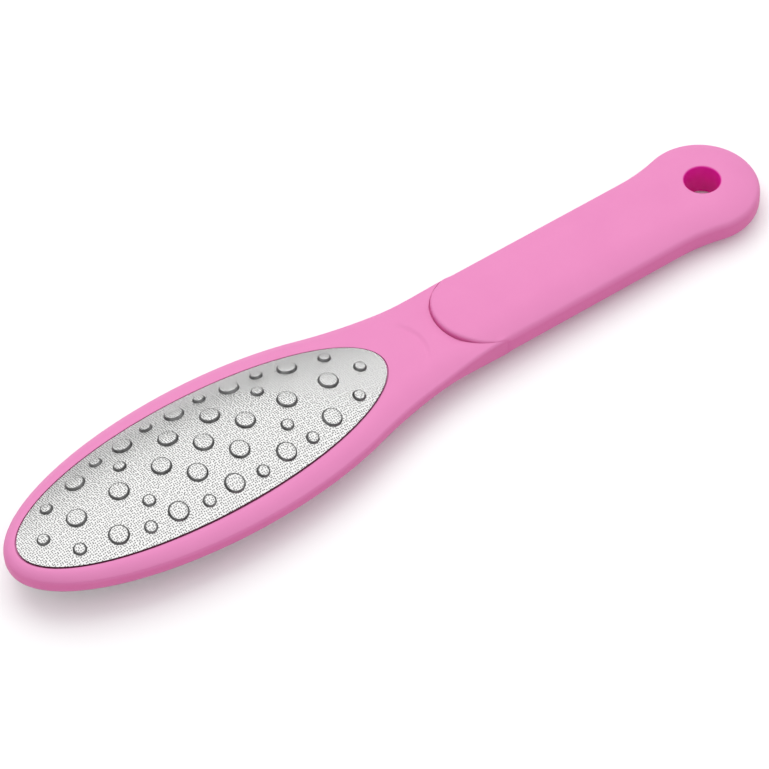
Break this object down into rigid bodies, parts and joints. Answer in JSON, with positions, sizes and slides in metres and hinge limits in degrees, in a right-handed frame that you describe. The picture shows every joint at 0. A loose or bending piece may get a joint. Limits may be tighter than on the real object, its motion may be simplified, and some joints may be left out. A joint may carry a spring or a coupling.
{
  "type": "foot file",
  "caption": "Hand-held foot file: oval plastic head with a domed, bumped steel plate, a fine steel plate behind, and a soft-touch grip that ends in a hanging eye.",
  "frame": {"origin": "under the middle of the length, at the level of the back plate's crown, the lowest point", "axes": "+X from the head's tip to the hanging eye, +Z out of the coarse plate, +Y across the head"},
  "size_m": [0.2204, 0.0476, 0.0168],
  "materials": {
    "frame_plastic": "satin pink moulded plastic",
    "grip_rubber": "matte pink soft-touch moulding",
    "coarse_steel": "pressed sheet with a fine regular tooth and raised bumps",
    "fine_steel": "pressed sheet with a fine regular tooth",
    "bond_film": "dull adhesive film"
  },
  "bodies": {
    "root": {"core_frame": "frame_plastic", "soft_grip": "grip_rubber", "coarse_plate": "coarse_steel", "coarse_bond_film": "bond_film", "fine_plate": "fine_steel", "fine_bond_film": "bond_film"}
  },
  "joints": []
}
